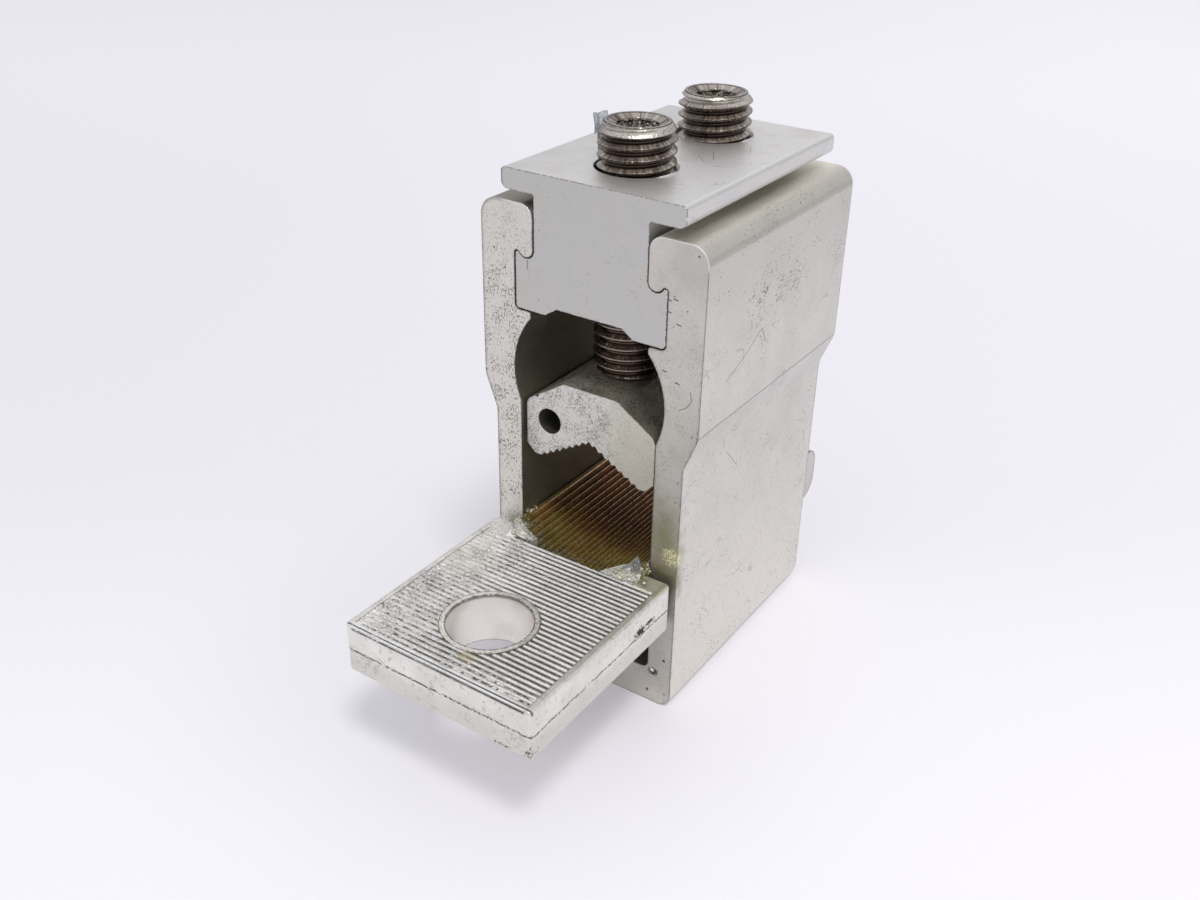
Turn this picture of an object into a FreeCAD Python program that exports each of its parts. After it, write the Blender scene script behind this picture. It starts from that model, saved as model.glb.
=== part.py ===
"""Twin-screw cable clamp for an equipment terminal, in millimetres.

X runs across the clamp, Y along the conductor with the bolt palm towards -Y, and Z up.
The origin is the centre of the cage's underside. The cage, the screw block and the jaw are
extrusions sawn to length, so each is one outline in X and Z carried along Y. Every outline
is drawn for the right half and mirrored.
"""
import FreeCAD, Part
import math
import os

V = FreeCAD.Vector

# Cage, a sawn extrusion
cage_depth = 48.0
base_width = 35.5
head_width = 40.0
base_radius = 2.5
base_web = 6.8
hollow_height = 5.2
hollow_width = 26.4
hollow_radius = 1.2
floor_web = 5.6
floor_radius = 0.6
channel_width = 25.6
shoulder_z = 46.8
shoulder_rise = 5.8
shoulder_radius = 4.0
bulge_radius = 14.0
bulge_z = 55.4
ledge_z = 65.45
ledge_gap = 21.5
ledge_radius = 0.5
hook_top_radius = 3.0
hook_mouth_radius = 2.2
wall_top_gap = 1.7

# Screw block, a sawn extrusion that slides in the cage's hooks
block_length = 47.2
block_inset = 0.1
slide_clearance = 0.2
stem_width = 20.15
ear_width = 27.1
ear_height = 9.3
ear_foot_radius = 0.7
groove_radius = 1.5
groove_depth = 0.9
recess_depth = 1.4
recess_width = 11.8
recess_mouth = 16.0
stem_height = 9.3
flange_width = 32.1
flange_thickness = 3.3
flange_top_radius = 0.7
flange_bottom_radius = 1.2
flange_root_radius = 0.4

# Socket set screws
screw_diameter = 12.0
screw_length = 40.0
screw_spacing = 23.4
thread_clearance = 0.05
thread_mouth_chamfer = 0.4
screw_top_chamfer_height = 1.3
screw_rim_radius = 5.0
screw_point_chamfer = 0.9
dog_diameter = 8.5
dog_length = 3.0
dog_clearance = 0.1
seat_depth = 3.2
socket_flats = 6.0
socket_depth = 6.0
socket_mouth_radius = 4.4
socket_mouth_depth = 0.8

# Clamping jaw, a sawn extrusion
jaw_top_z = 54.4
jaw_width = 24.5
jaw_end_inset = 0.8
jaw_crown_width = 10.0
jaw_crown_radius = 1.5
jaw_shoulder_slope = 32.5
jaw_shoulder_radius = 1.8
jaw_apex_drop = 8.7
jaw_flank_slope = 29.5
jaw_tooth_pitch = 1.256
jaw_tooth_depth = 0.55
jaw_teeth_per_flank = 7
jaw_leg_length = 14.2
jaw_leg_centre = 10.2
jaw_leg_radius = 0.9
jaw_hole_radius = 2.15
jaw_hole_offset = 7.7
jaw_hole_drop = 7.4

# Terminal tang, one bar
tang_width = 35.0
tang_thickness = 10.0
tongue_clearance = 0.25
palm_reach = 38.2
palm_thickness = 8.8
palm_gap = 1.2
palm_corner_radius = 0.9
palm_top_radius = 0.4
palm_bottom_radius = 0.6
bolt_hole_diameter = 13.5
bolt_hole_reach = 25.2
trough_radius = 20.0
trough_run_out = 3.6
trough_ramp = 1.6
ridge_pitch = 0.97
ridge_depth = 0.35
rib_pitch = 1.04
rib_depth = 0.38
rib_side_margin = 1.2
rib_end_margin = 1.1
bolt_ring_width = 0.95
tail_gap = 0.4
tail_length = 3.8
tail_radius = 3.4

# Heights that several pieces share
floor_z = base_web + hollow_height + floor_web
foot_z = ledge_z + slide_clearance
lip_z = foot_z + ear_height
groove_z = lip_z - groove_depth
flange_z = lip_z + stem_height
wall_top_z = flange_z - wall_top_gap
block_top_z = flange_z + flange_thickness
screw_radius = screw_diameter / 2

# Places along Y
cage_front = -cage_depth / 2
cage_back = cage_depth / 2
block_front = cage_front + block_inset
screw_places = (-screw_spacing / 2, screw_spacing / 2)


def rounded_path(points):
    """Edges of an open path in X and Z; a third number on a point is its corner radius."""
    edges = []
    start = V(points[0][0], 0, points[0][1])
    for i in range(1, len(points)):
        corner = V(points[i][0], 0, points[i][1])
        radius = points[i][2] if len(points[i]) > 2 else 0
        if radius == 0 or i == len(points) - 1:
            edges.append(Part.makeLine(start, corner))
            start = corner
            continue
        after = V(points[i + 1][0], 0, points[i + 1][1])
        back = (start - corner).normalize()
        ahead = (after - corner).normalize()
        half_angle = back.getAngle(ahead) / 2
        reach = radius / math.tan(half_angle)
        arc_start = corner + back * reach
        arc_end = corner + ahead * reach
        middle = (back + ahead).normalize()
        arc_middle = corner + middle * (radius / math.sin(half_angle) - radius)
        edges.append(Part.makeLine(start, arc_start))
        edges.append(Part.Arc(arc_start, arc_middle, arc_end).toShape())
        start = arc_end
    return edges


def arc_about(centre, radius, start_angle, end_angle):
    """Arc edge in X and Z about a centre, angles in degrees from +X towards +Z."""
    def place(angle):
        turn = math.radians(angle)
        return V(centre[0] + radius * math.cos(turn), 0, centre[1] + radius * math.sin(turn))
    middle = (start_angle + end_angle) / 2
    return Part.Arc(place(start_angle), place(middle), place(end_angle)).toShape()


def mirrored_extrusion(half_edges, front, length):
    """Solid from the right half of an outline, mirrored at X = 0 and carried along +Y."""
    half = Part.Wire(Part.__sortEdges__(half_edges))
    other = half.mirror(V(0, 0, 0), V(1, 0, 0))
    outline = Part.Wire(Part.__sortEdges__(half.Edges + other.Edges))
    solid = Part.Face(outline).extrude(V(0, length, 0))
    solid.translate(V(0, front, 0))
    return solid


def box_between(low, high):
    """Box between two opposite corners."""
    size = V(*high) - V(*low)
    return Part.makeBox(size.x, size.y, size.z, V(*low))


def hook_curve(clearance):
    """S-curve that the block's groove and lip share with the hook's nose and its pocket.

    The groove is a circle tangent to the stem, and the lip a smaller one tangent to the ear
    and to the groove's circle. The cage draws the same curve with a clearance all round.
    """
    groove = (stem_width / 2 + groove_radius, groove_z + groove_radius)
    ear_side = ear_width / 2
    across = ear_side - groove[0]
    up = groove[1] - lip_z
    # tangent circles: (across - r)^2 + (up + r)^2 = (groove_radius + r)^2
    b = across - up + groove_radius
    c = across ** 2 + up ** 2 - groove_radius ** 2
    lip_radius = b - math.sqrt(b ** 2 - c)
    lip = (ear_side - lip_radius, lip_z - lip_radius)
    joint_angle = math.degrees(math.atan2(lip[1] - groove[1], lip[0] - groove[0]))
    return [
        arc_about(groove, groove_radius - clearance, 180, 360 + joint_angle),
        arc_about(lip, lip_radius + clearance, 180 + joint_angle, 0),
    ]


def build_cage():
    """Base with a hollow, channel walls, round bulge, ledges and hooks, in one extrusion."""
    head = head_width / 2
    base = base_width / 2
    hook_face = stem_width / 2 + slide_clearance
    pocket_side = ear_width / 2 + slide_clearance
    nose, pocket_corner = hook_curve(slide_clearance)
    outside = rounded_path([
        (0, 0),
        (base, 0, base_radius),
        (base, shoulder_z, shoulder_radius),
        (head, shoulder_z + shoulder_rise, shoulder_radius),
        (head, wall_top_z, hook_top_radius),
        (hook_face, wall_top_z, hook_mouth_radius),
        (hook_face, groove_z + groove_radius),
    ])
    lip_centre_z = pocket_corner.Vertexes[-1].Point.z
    tip = ledge_gap / 2
    channel = channel_width / 2
    bulge_top = math.degrees(math.acos(tip / bulge_radius))
    bulge_bottom = -math.degrees(math.acos(channel / bulge_radius))
    ledge = rounded_path([
        (pocket_side, lip_centre_z),
        (pocket_side, ledge_z, ear_foot_radius + slide_clearance),
        (tip, ledge_z, ledge_radius),
        (tip, bulge_z + bulge_radius * math.sin(math.radians(bulge_top))),
    ])
    bulge = arc_about((0, bulge_z), bulge_radius, bulge_top, bulge_bottom)
    channel_wall = rounded_path([
        (channel, bulge_z + bulge_radius * math.sin(math.radians(bulge_bottom))),
        (channel, floor_z, floor_radius),
        (0, floor_z),
    ])
    half = outside + [nose, pocket_corner] + ledge + [bulge] + channel_wall
    cage = mirrored_extrusion(half, cage_front, cage_depth)
    hollow = rounded_path([
        (0, base_web),
        (hollow_width / 2, base_web, hollow_radius),
        (hollow_width / 2, base_web + hollow_height, hollow_radius),
        (0, base_web + hollow_height),
    ])
    return cage.cut(mirrored_extrusion(hollow, cage_front, cage_depth))


def build_screw_block():
    """Flange, stem and lipped ears in one extrusion, drilled for the two screws."""
    groove, lip = hook_curve(0)
    ear_side = ear_width / 2
    stem_side = stem_width / 2
    underside = rounded_path([
        (0, foot_z + recess_depth),
        (recess_width / 2, foot_z + recess_depth),
        (recess_mouth / 2, foot_z),
        (ear_side, foot_z, ear_foot_radius),
        (ear_side, lip.Vertexes[-1].Point.z),
    ])
    upper = rounded_path([
        (stem_side, groove_z + groove_radius),
        (stem_side, flange_z, flange_root_radius),
        (flange_width / 2, flange_z, flange_bottom_radius),
        (flange_width / 2, block_top_z, flange_top_radius),
        (0, block_top_z),
    ])
    block = mirrored_extrusion(underside + [lip, groove] + upper, block_front, block_length)
    hole_radius = screw_radius + thread_clearance
    mouth_radius = hole_radius + thread_mouth_chamfer
    mouth_z = block_top_z - thread_mouth_chamfer
    for place in screw_places:
        hole = Part.makeCylinder(hole_radius, block_top_z - foot_z, V(0, place, foot_z))
        mouth = Part.makeCone(hole_radius, mouth_radius, thread_mouth_chamfer, V(0, place, mouth_z))
        block = block.cut(hole).cut(mouth)
    return block


def build_screw(place):
    """Set screw: body with chamfered ends, dog point for the jaw, dished mouth, hexagon socket."""
    bottom = jaw_top_z
    top = bottom + screw_length
    point_radius = screw_radius - screw_point_chamfer
    outline = [
        V(0, 0, bottom - dog_length),
        V(dog_diameter / 2, 0, bottom - dog_length),
        V(dog_diameter / 2, 0, bottom),
        V(point_radius, 0, bottom),
        V(screw_radius, 0, bottom + screw_point_chamfer),
        V(screw_radius, 0, top - screw_top_chamfer_height),
        V(screw_rim_radius, 0, top),
        V(socket_mouth_radius, 0, top),
        V(socket_flats / 2, 0, top - socket_mouth_depth),
        V(0, 0, top - socket_mouth_depth),
        V(0, 0, bottom - dog_length),
    ]
    body = Part.Face(Part.makePolygon(outline)).revolve(V(0, 0, 0), V(0, 0, 1), 360)
    corner_radius = socket_flats / math.sqrt(3)
    corners = []
    for i in range(7):
        turn = math.radians(60 * i)
        x = corner_radius * math.cos(turn)
        y = corner_radius * math.sin(turn)
        corners.append(V(x, y, top - socket_depth))
    socket = Part.Face(Part.makePolygon(corners)).extrude(V(0, 0, socket_depth))
    screw = body.cut(socket)
    screw.translate(V(0, place, 0))
    return screw


def build_jaw():
    """Jaw with sloped shoulders, rounded legs, a V of stepped teeth, one side hole and two seats."""
    side = jaw_width / 2
    crown = jaw_crown_width / 2
    shoulder_drop = (side - crown) * math.tan(math.radians(jaw_shoulder_slope))
    apex_z = jaw_top_z - jaw_apex_drop
    slope = math.tan(math.radians(jaw_flank_slope))
    foot = jaw_top_z - jaw_leg_length
    # root, crest, root ... outwards from the apex, whose own root is cut less deep
    points = [(0, apex_z)]
    for i in range(1, 2 * jaw_teeth_per_flank + 1):
        x = i * jaw_tooth_pitch / 2
        crest = jaw_tooth_depth if i % 2 else 0
        points.append((x, apex_z + slope * jaw_tooth_pitch / 4 - slope * x - crest))
    leg_inside = jaw_leg_centre - jaw_leg_radius
    points += [
        (leg_inside, foot, jaw_leg_radius / 2),
        (jaw_leg_centre + jaw_leg_radius / 2, foot, jaw_leg_radius),
        (side, foot + side - jaw_leg_centre - jaw_leg_radius / 2),
        (side, jaw_top_z - shoulder_drop, jaw_shoulder_radius),
        (crown, jaw_top_z, jaw_crown_radius),
        (0, jaw_top_z),
    ]
    length = cage_depth - 2 * jaw_end_inset
    jaw = mirrored_extrusion(rounded_path(points), -length / 2, length)
    centre = V(-jaw_hole_offset, -length / 2, jaw_top_z - jaw_hole_drop)
    jaw = jaw.cut(Part.makeCylinder(jaw_hole_radius, length, centre, V(0, 1, 0)))
    seat_radius = dog_diameter / 2 + dog_clearance
    for place in screw_places:
        seat = Part.makeCylinder(seat_radius, seat_depth, V(0, place, jaw_top_z - seat_depth))
        jaw = jaw.cut(seat)
    return jaw


def trough_height(x):
    """Height of the conductor trough's ridge tops, an arc across the tongue."""
    edge = (channel_width / 2 - tongue_clearance)
    dip = trough_radius - math.sqrt(trough_radius ** 2 - edge ** 2)
    rise = trough_radius - math.sqrt(trough_radius ** 2 - x ** 2)
    return floor_z + tang_thickness - dip + rise


def edges_at(shape, z_low, z_high):
    """Edges of a shape that lie wholly between two heights."""
    found = []
    for e in shape.Edges:
        if e.BoundBox.ZMin > z_low - 1e-6 and e.BoundBox.ZMax < z_high + 1e-6:
            found.append(e)
    return found


def build_palm(front, back, width, hole_y, ribs_back):
    """Palm plate with rounded edges, crosswise ribs and the bolt hole in its plain ring."""
    top = floor_z + palm_thickness
    side = width / 2
    palm = box_between((-side, front, floor_z), (side, back, top))
    upright = [e for e in palm.Edges if e.BoundBox.ZLength > palm_thickness / 2]
    palm = palm.makeFillet(palm_corner_radius, upright)
    palm = palm.makeFillet(palm_top_radius, edges_at(palm, top, top))
    palm = palm.makeFillet(palm_bottom_radius, edges_at(palm, floor_z, floor_z))
    comb = [V(0, ribs_back, top + 1), V(0, ribs_back, top)]
    for i in range(int((ribs_back - front - rib_end_margin) / rib_pitch)):
        comb.append(V(0, ribs_back - (i + 0.5) * rib_pitch, top - rib_depth))
        comb.append(V(0, ribs_back - (i + 1) * rib_pitch, top))
    comb.append(V(0, comb[-1].y, top + 1))
    comb.append(comb[0])
    ribs = Part.Face(Part.makePolygon(comb)).extrude(V(width - 2 * rib_side_margin, 0, 0))
    ribs.translate(V(rib_side_margin - side, 0, 0))
    hole_radius = bolt_hole_diameter / 2
    ring_radius = hole_radius + bolt_ring_width
    ring = Part.makeCylinder(ring_radius, palm_thickness, V(0, hole_y, top - rib_depth - 1))
    palm = palm.cut(ribs.cut(ring))
    return palm.cut(Part.makeCylinder(hole_radius, palm_thickness, V(0, hole_y, floor_z)))


def build_bar(front, back):
    """Bar of the tongue and the tail, with lengthwise ridges in its trough and a rounded end."""
    top_z = floor_z + tang_thickness
    tongue = channel_width / 2 - tongue_clearance
    side = tang_width / 2
    points = []
    for i in range(int(2 * tongue / ridge_pitch)):
        x = i * ridge_pitch / 2
        groove = 0 if i % 2 else ridge_depth
        points.append((x, trough_height(x) - groove))
    points += [(tongue, top_z), (side, top_z), (side, floor_z), (0, floor_z)]
    bar = mirrored_extrusion(rounded_path(points), front, back - front)
    stock = box_between((-side, front, floor_z), (side, back, top_z))
    end_edges = []
    for e in stock.Edges:
        if e.BoundBox.YMin > back - 1e-6 and e.BoundBox.XLength > side:
            end_edges.append(e)
    return bar.common(stock.makeFillet(tail_radius, end_edges))


def build_tang():
    """Bar notched round the cage walls, its front pressed down to a wide ribbed palm."""
    top_z = floor_z + tang_thickness
    palm_z = floor_z + palm_thickness
    tongue = channel_width / 2 - tongue_clearance
    side = tang_width / 2
    front = cage_front - palm_reach
    palm_back = cage_front - palm_gap
    trough_front = palm_back - trough_run_out
    tail_front = cage_back + tail_gap
    bar = build_bar(trough_front, tail_front + tail_length)
    for edge in (-1, 1):
        inner, outer = sorted((edge * tongue, edge * side))
        bar = bar.cut(box_between((inner, trough_front, floor_z), (outer, tail_front, top_z)))
    ramp = Part.Face(Part.makePolygon([
        V(-side, trough_front, palm_z),
        V(-side, trough_front + trough_ramp, top_z),
        V(-side, trough_front, top_z),
        V(-side, trough_front, palm_z),
    ])).extrude(V(tang_width, 0, 0))
    hole_y = cage_front - bolt_hole_reach
    palm = build_palm(front, palm_back, tang_width, hole_y, trough_front)
    palm = palm.cut(box_between((-tongue, trough_front, floor_z), (tongue, palm_back, palm_z)))
    return bar.cut(ramp).fuse(palm).removeSplitter()


def export(name, shape):
    """Write one node, after a look at its solids."""
    for solid in shape.Solids:
        if not solid.isValid():
            print("not valid:", name)
    print(name, "solids", len(shape.Solids), "volume", round(shape.Volume, 1))
    shape.exportStep("parts/" + name + ".step")


os.makedirs("parts", exist_ok=True)
export("cage", build_cage())
export("screw_block", build_screw_block())
export("screw_front", build_screw(screw_places[0]))
export("screw_rear", build_screw(screw_places[1]))
export("jaw", build_jaw())
export("tang", build_tang())
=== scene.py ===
"""Looks of a twin-screw cable clamp for an equipment terminal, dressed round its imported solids.

X runs across the clamp, Y along the conductor away from the bolt palm, and Z up. Sizes are in
millimetres and turned to metres where a mesh or a material takes them.
"""
import math
import bmesh
import bpy
import numpy as np
from mathutils import Matrix, Vector


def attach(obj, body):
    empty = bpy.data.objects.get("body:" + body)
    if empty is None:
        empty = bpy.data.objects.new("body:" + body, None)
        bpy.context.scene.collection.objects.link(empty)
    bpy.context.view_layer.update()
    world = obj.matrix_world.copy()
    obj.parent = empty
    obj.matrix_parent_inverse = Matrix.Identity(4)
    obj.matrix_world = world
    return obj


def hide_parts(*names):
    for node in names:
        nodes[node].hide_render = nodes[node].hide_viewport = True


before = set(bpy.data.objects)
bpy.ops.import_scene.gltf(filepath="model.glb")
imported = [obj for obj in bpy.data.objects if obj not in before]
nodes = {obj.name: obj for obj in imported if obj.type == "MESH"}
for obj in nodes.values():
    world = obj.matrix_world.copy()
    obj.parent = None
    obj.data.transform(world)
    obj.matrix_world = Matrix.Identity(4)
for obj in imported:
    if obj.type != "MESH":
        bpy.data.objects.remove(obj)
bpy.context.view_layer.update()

MM = 0.001
scene = bpy.context.scene


# Camera, at the photograph's place

CAMERA_AZIMUTH = math.radians(33.43)
CAMERA_ELEVATION = math.radians(29.41)
CAMERA_ROLL = 0.02116
CAMERA_TARGET = Vector((-8.01, -7.81, 34.54))
CAMERA_DISTANCE = 213.64
CAMERA_LENS = 36.47
SENSOR_WIDTH = 36.0


def set_camera():
    """The camera looks along the line from its place to its target, turned a little about it."""
    back = Vector((math.sin(CAMERA_AZIMUTH) * math.cos(CAMERA_ELEVATION),
                   -math.cos(CAMERA_AZIMUTH) * math.cos(CAMERA_ELEVATION),
                   math.sin(CAMERA_ELEVATION)))
    level = Vector((0, 0, 1)).cross(back).normalized()
    upright = back.cross(level)
    right = level * math.cos(CAMERA_ROLL) + upright * math.sin(CAMERA_ROLL)
    up = upright * math.cos(CAMERA_ROLL) - level * math.sin(CAMERA_ROLL)
    lens = bpy.data.cameras.new("camera")
    lens.sensor_width = SENSOR_WIDTH
    lens.lens = CAMERA_LENS
    lens.clip_start = 0.005
    lens.clip_end = 20.0
    camera = bpy.data.objects.new("camera", lens)
    scene.collection.objects.link(camera)
    turn = Matrix((right, up, back)).transposed().to_4x4()
    camera.matrix_world = Matrix.Translation((CAMERA_TARGET + back * CAMERA_DISTANCE) * MM) @ turn
    scene.camera = camera


set_camera()
scene.view_settings.view_transform = "Standard"


# Places on the solids that patterns and loose pieces follow

CREASE_Z = 52.75
BLOCK_TOP = 87.55
PALM_TOP = 26.4
RIB_DEPTH = 0.38
LAST_GROOVE_Y = -61.75
SHEAR_Z = 21.9
HOLE_Y = -49.2
RING_RADIUS = 7.4
TONGUE_TOP = 27.6
TONGUE_HALF = 12.55
TROUGH_FRONT = -28.8
TROUGH_RADIUS = 20.0
TROUGH_PITCH = 0.97
RAMP_SLOPE = 0.75
SCREW_Y = 11.7


# Set screws, M12 with a 6 mm hexagon socket and a dog point

THREAD_PITCH = 1.75
THREAD_CREST = 6.0
THREAD_ROOT = 4.93
SCREW_FOOT = 54.4
SCREW_TOP = 94.4
SCREW_COLUMNS = 84
RIM_RADIUS = 5.0
TOP_CHAMFER = 1.3
FOOT_CHAMFER = 0.9
MOUTH_RADIUS = 4.4
MOUTH_DEPTH = 0.8
SOCKET_FLATS = 6.0
SOCKET_DEPTH = 6.0
DOG_RADIUS = 4.25
DOG_LENGTH = 3.0


# Materials

def linear(code):
    """A linear colour from an sRGB hex code."""
    part = np.array([int(code[i:i + 2], 16) for i in (1, 3, 5)]) / 255
    low = part <= 0.04045
    return (*np.where(low, part / 12.92, ((part + 0.055) / 1.055) ** 2.4), 1.0)


def per_mm(size):
    """The scale that makes a pattern on Object coordinates repeat about every size millimetres."""
    return 1.0 / (size * MM)


# A range map runs eased from 0 at its first limit to 1 at its second, unless it says otherwise
USUAL = {
    "MapRange": {"interpolation_type": "SMOOTHSTEP"},
    "TexNoise": {"noise_dimensions": "3D"},
    "TexVoronoi": {"feature": "F1"},
}


def add_node(tree, kind, *values, out=0, **settings):
    """Adds one node. The values fill its sockets in order, and None leaves one as it is; a
    setting is a property of the node or, failing that, a socket's name. Colours are hex codes."""
    made = tree.nodes.new("ShaderNode" + kind)
    sockets = dict(enumerate(values))
    for name, value in {**USUAL.get(kind, {}), **settings}.items():
        if name in made.bl_rna.properties:
            setattr(made, name, value)
        else:
            sockets[name] = value
    for name, value in sockets.items():
        if isinstance(value, bpy.types.NodeSocket):
            tree.links.new(value, made.inputs[name])
        elif value is not None:
            made.inputs[name].default_value = linear(value) if isinstance(value, str) else value
    return made.outputs[out]


class Finish:
    """A material under way: its node tree, its shader, and where its patterns start."""

    def __init__(self, name):
        self.material = bpy.data.materials.new(name)
        self.material.use_nodes = True
        self.tree = self.material.node_tree
        self.shader = self.tree.nodes["Principled BSDF"]
        coordinates = self.tree.nodes.new("ShaderNodeTexCoord")
        self.place = coordinates.outputs["Object"]
        self.facing = coordinates.outputs["Normal"]

    def add(self, kind, *values, **settings):
        """Adds one node to the material."""
        return add_node(self.tree, kind, *values, **settings)

    def wear(self, **inputs):
        """Sets the shader's own sockets: a link where the value varies, else a number or colour."""
        for name, value in inputs.items():
            socket = self.shader.inputs[name.replace("_", " ")]
            if isinstance(value, bpy.types.NodeSocket):
                self.tree.links.new(value, socket)
            else:
                socket.default_value = value

    def both(self, *masks):
        """The masks multiplied together."""
        joint = masks[0]
        for mask in masks[1:]:
            joint = self.add("Math", joint, mask, operation="MULTIPLY")
        return joint

    def either(self, *masks):
        """The largest of the masks at each point."""
        joint = masks[0]
        for mask in masks[1:]:
            joint = self.add("Math", joint, mask, operation="MAXIMUM")
        return joint

    def pits(self, size, spacing, share, where=None, ragged=0.35):
        """Small round-ish pits: cells about spacing apart, a share of which hold a pit of about
        the given size, its edge pushed about by noise."""
        place = where or self.place
        push = self.add("TexNoise", place, Scale=per_mm(size * 0.7), Detail=2.0, out=1)
        shoved = self.add("VectorMath", push, (0.5, 0.5, 0.5), operation="SUBTRACT")
        shoved = self.add("VectorMath", shoved, operation="SCALE", Scale=size * ragged * MM * 2)
        shoved = self.add("VectorMath", place, shoved, operation="ADD")
        gap = self.add("TexVoronoi", shoved, Scale=per_mm(spacing))
        chance = self.add("SeparateColor", gap.node.outputs["Color"])
        chosen = self.add("MapRange", chance, 1.0 - share - 0.02, 1.0 - share + 0.02)
        reach = size / spacing / 2
        hole = self.add("MapRange", gap, reach, reach * 0.55)
        return self.both(chosen, hole)

    def hairlines(self, size, width, where, share=0.5):
        """Fine curved scratches: the lines where a stretched noise passes its middle value, kept
        in a share of patches."""
        wander = self.add("TexNoise", where, Scale=per_mm(size), Detail=1.0)
        line = self.add("MapRange", self.off(wander, 0.5), width, width * 0.25)
        patch = self.add("TexNoise", self.place, Scale=per_mm(size * 0.8), Detail=2.0)
        return self.both(line, self.add("MapRange", patch, 0.62 - share * 0.3, 0.72 - share * 0.3))

    def scratch(self, start, end, width):
        """One straight scratch: 1 nearer to the line from start to end than half its width."""
        a, b = Vector(start) * MM, Vector(end) * MM
        along = b - a
        reach = self.add("VectorMath", self.place, tuple(a), operation="SUBTRACT")
        share = self.add("VectorMath", reach, tuple(along / along.length_squared),
                         operation="DOT_PRODUCT", out=1)
        share = self.add("Clamp", share)
        foot = self.add("VectorMath", tuple(along), operation="SCALE", Scale=share)
        gap = self.add("VectorMath", reach, foot, operation="DISTANCE", out=1)
        return self.add("MapRange", gap, width * 0.6 * MM, width * 0.25 * MM)

    def blot(self, centre, size, ragged=0.5, grain=0.6, full=0.75):
        """One ragged blot round a place, size being its half widths in X, Y and Z, that fades
        from its edge to full strength at a share of the way in."""
        push = self.add("TexNoise", self.place, Scale=per_mm(grain), Detail=3.0, Roughness=0.65)
        reach = self.add("VectorMath", self.place, tuple(Vector(centre) * MM),
                         operation="SUBTRACT")
        reach = self.add("VectorMath", reach, tuple(1 / (s * MM) for s in size),
                         operation="MULTIPLY")
        far = self.add("VectorMath", reach, operation="LENGTH", out=1)
        push = self.add("MapRange", push, 0.3, 0.7, -ragged, ragged, interpolation_type="LINEAR")
        far = self.add("Math", far, push, operation="ADD")
        return self.add("MapRange", far, 1.0, full)

    def specks(self, size, share, clump, where=None, shift=0.0):
        """Ragged specks of about a size: where a rough noise passes a height, thicker in the
        clumps of a slower noise. The share goes from 0, none, to 1, half the surface, and a
        shift takes another part of the noise."""
        place = where or (self.add("Mapping", self.place, (shift, 0, 0)) if shift else self.place)
        fine = self.add("TexNoise", place, Scale=per_mm(size * 1.6), Detail=4.0, Roughness=0.7)
        slow = self.add("TexNoise", self.place, Scale=per_mm(clump), Detail=2.0)
        slow = self.add("MapRange", slow, 0.3, 0.7, -0.06, 0.06, interpolation_type="LINEAR")
        sum_ = self.add("Math", fine, slow, operation="ADD")
        level = 0.72 - 0.2 * share
        return self.add("MapRange", sum_, level, level + 0.035)

    def edges(self, radius):
        """1 on sharp edges: where the normal rounded over a radius leaves the surface's own."""
        rounded = self.add("Bevel", radius * MM, samples=4)
        own = self.add("NewGeometry", out=1)
        agree = self.add("VectorMath", rounded, own, operation="DOT_PRODUCT", out=1)
        return self.add("MapRange", agree, 0.995, 0.88)

    def off(self, value, level):
        """How far a value is from a level, either way."""
        return self.add("Math", self.add("Math", value, level, operation="SUBTRACT"),
                        operation="ABSOLUTE")

    def paint(self, above, *masks):
        """Lays a colour, a hex code or a link, over the colour so far where all the masks are."""
        self.colour = self.add("MixRGB", self.both(*masks), self.colour, above)

    def relief(self, *layers, rounding=0.0):
        """Bumps laid over each other, each a height mask and its depth in millimetres, over
        edges that are worn round by a radius."""
        normal = self.add("Bevel", rounding * MM, samples=6) if rounding else None
        for height, depth in layers:
            normal = self.add("Bump", 1.0, abs(depth) * MM, Height=height, Normal=normal,
                              invert=depth < 0)
        self.wear(Normal=normal)


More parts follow.
